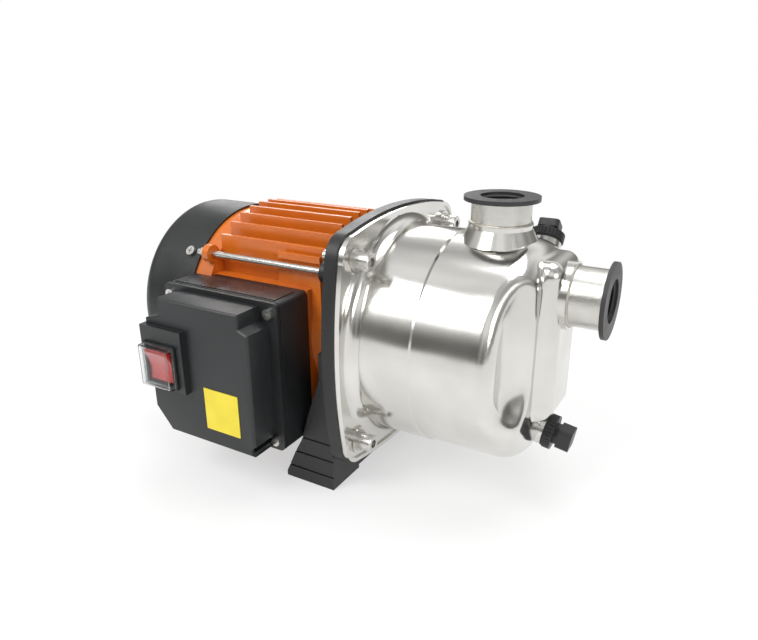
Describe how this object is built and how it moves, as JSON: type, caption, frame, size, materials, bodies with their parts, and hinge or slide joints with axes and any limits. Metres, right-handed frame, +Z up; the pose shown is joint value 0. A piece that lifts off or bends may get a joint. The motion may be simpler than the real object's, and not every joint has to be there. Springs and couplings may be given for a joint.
{
  "type": "shallow well jet pump",
  "caption": "Self-priming jet water pump: pressed steel pump end with two flanged pipe ports, lantern bracket with foot, finned motor and switch box.",
  "frame": {"origin": "on the floor, midway between the two foot bolt holes", "axes": "+X along the shaft to the suction port, +Z up along the discharge port, switch box on -Y"},
  "size_m": [0.3664, 0.2345, 0.2212],
  "materials": {
    "stainless": "polished pressed stainless sheet",
    "port_plastic": "moulded glass-filled plastic",
    "plug_plastic": "moulded plastic",
    "zinc_steel": "zinc plated",
    "nut_brass": "turned",
    "shaft_steel": "ground",
    "rubber": "moulded",
    "seal_ceramic": "lapped ceramic",
    "seal_carbon": "lapped carbon",
    "impeller_brass": "cast and turned",
    "ejector_plastic": "moulded",
    "bracket_black": "die cast, black paint",
    "orange_paint": "die cast, orange paint",
    "rotor_iron": "stacked sheet",
    "rotor_aluminium": "cast",
    "copper": "varnished wire",
    "fan_plastic": "moulded",
    "cover_plastic": "moulded, satin",
    "box_plastic": "moulded, satin",
    "rocker_red": "translucent moulding",
    "hood_clear": "clear flexible moulding",
    "capacitor_case": "moulded can",
    "clip_plastic": "moulded",
    "plate_black": "bare foil",
    "label_yellow": "bare vinyl"
  },
  "bodies": {
    "housing": {"bearing_outer_rings": "shaft_steel", "body_bolts": "zinc_steel", "body_gasket": "rubber", "body_washers": "zinc_steel", "box_cover_screws": "zinc_steel", "box_gasket": "rubber", "bracket": "bracket_black", "cable_gland": "box_plastic", "capacitor": "capacitor_case", "capacitor_clip": "clip_plastic", "diffuser": "ejector_plastic", "discharge_insert": "port_plastic", "discharge_tube": "stainless", "ejector_cage": "ejector_plastic", "fan_cover": "cover_plastic", "fan_cover_screws": "zinc_steel", "motor_frame": "orange_paint", "noise_label": "label_yellow", "nozzle": "ejector_plastic", "plug_bushes": "stainless", "pump_body": "stainless", "rating_plate": "plate_black", "rear_end_shield": "orange_paint", "seal_plate": "stainless", "seal_seat": "seal_ceramic", "stator_core": "rotor_iron", "suction_insert": "port_plastic", "suction_tube": "stainless", "switch_frame": "box_plastic", "switch_hood": "hood_clear", "terminal_block": "clip_plastic", "terminal_box_base": "box_plastic", "terminal_box_cover": "box_plastic", "tie_rod_nuts": "zinc_steel", "tie_rods": "zinc_steel", "venturi": "ejector_plastic", "wave_washer": "zinc_steel", "windings": "copper"},
    "rotor": {"shaft": "shaft_steel", "rotor_core": "rotor_iron", "rotor_end_rings": "rotor_aluminium", "impeller": "impeller_brass", "impeller_nut": "nut_brass", "seal_ring": "seal_carbon", "seal_bellows": "rubber", "slinger": "rubber", "fan": "fan_plastic", "fan_clip": "zinc_steel", "bearing_inner_rings": "shaft_steel"},
    "ball_sets": {"bearing_balls": "shaft_steel", "bearing_cages": "shaft_steel"},
    "rocker": {"switch_rocker": "rocker_red"},
    "priming_seal": {"priming_plug_seal": "rubber"},
    "priming_plug": {"priming_plug": "plug_plastic"},
    "drain_seal": {"drain_plug_seal": "rubber"},
    "drain_plug": {"drain_plug": "plug_plastic"}
  },
  "joints": [
    {"name": "shaft_spin", "type": "hinge", "parent": "housing", "child": "rotor", "pos_m": [0, 0, 0.112], "axis": [1, 0, 0], "continuous": true},
    {"name": "ball_sets_spin", "type": "hinge", "parent": "housing", "child": "ball_sets", "pos_m": [0, 0, 0.112], "axis": [1, 0, 0], "continuous": true},
    {"name": "rocker_tilt", "type": "hinge", "parent": "housing", "child": "rocker", "pos_m": [-0.096, -0.129, 0.098], "axis": [-1, 0, 0], "range_deg": [0, 22]},
    {"name": "priming_plug_lift", "type": "slide", "parent": "housing", "child": "priming_seal", "axis": [0, 0.6157, 0.788], "range_m": [0, 0.00802]},
    {"name": "priming_plug_turn", "type": "hinge", "parent": "priming_seal", "child": "priming_plug", "pos_m": [0.131, 0.05018, 0.17622], "axis": [0, 0.6157, 0.788], "range_deg": [0, 2160]},
    {"name": "drain_plug_lift", "type": "slide", "parent": "housing", "child": "drain_seal", "axis": [0.9848, 0, -0.1736], "range_m": [0, 0.00802]},
    {"name": "drain_plug_turn", "type": "hinge", "parent": "drain_seal", "child": "drain_plug", "pos_m": [0.154, 0, 0.052], "axis": [0.9848, 0, -0.1736], "range_deg": [0, 2160]}
  ],
  "couplings": [
    {"joint": "ball_sets_spin", "follows": "shaft_spin", "ratio": 0.38},
    {"joint": "priming_plug_turn", "follows": "priming_plug_lift", "rad_per_m": 4699.5},
    {"joint": "drain_plug_turn", "follows": "drain_plug_lift", "rad_per_m": 4699.5}
  ]
}
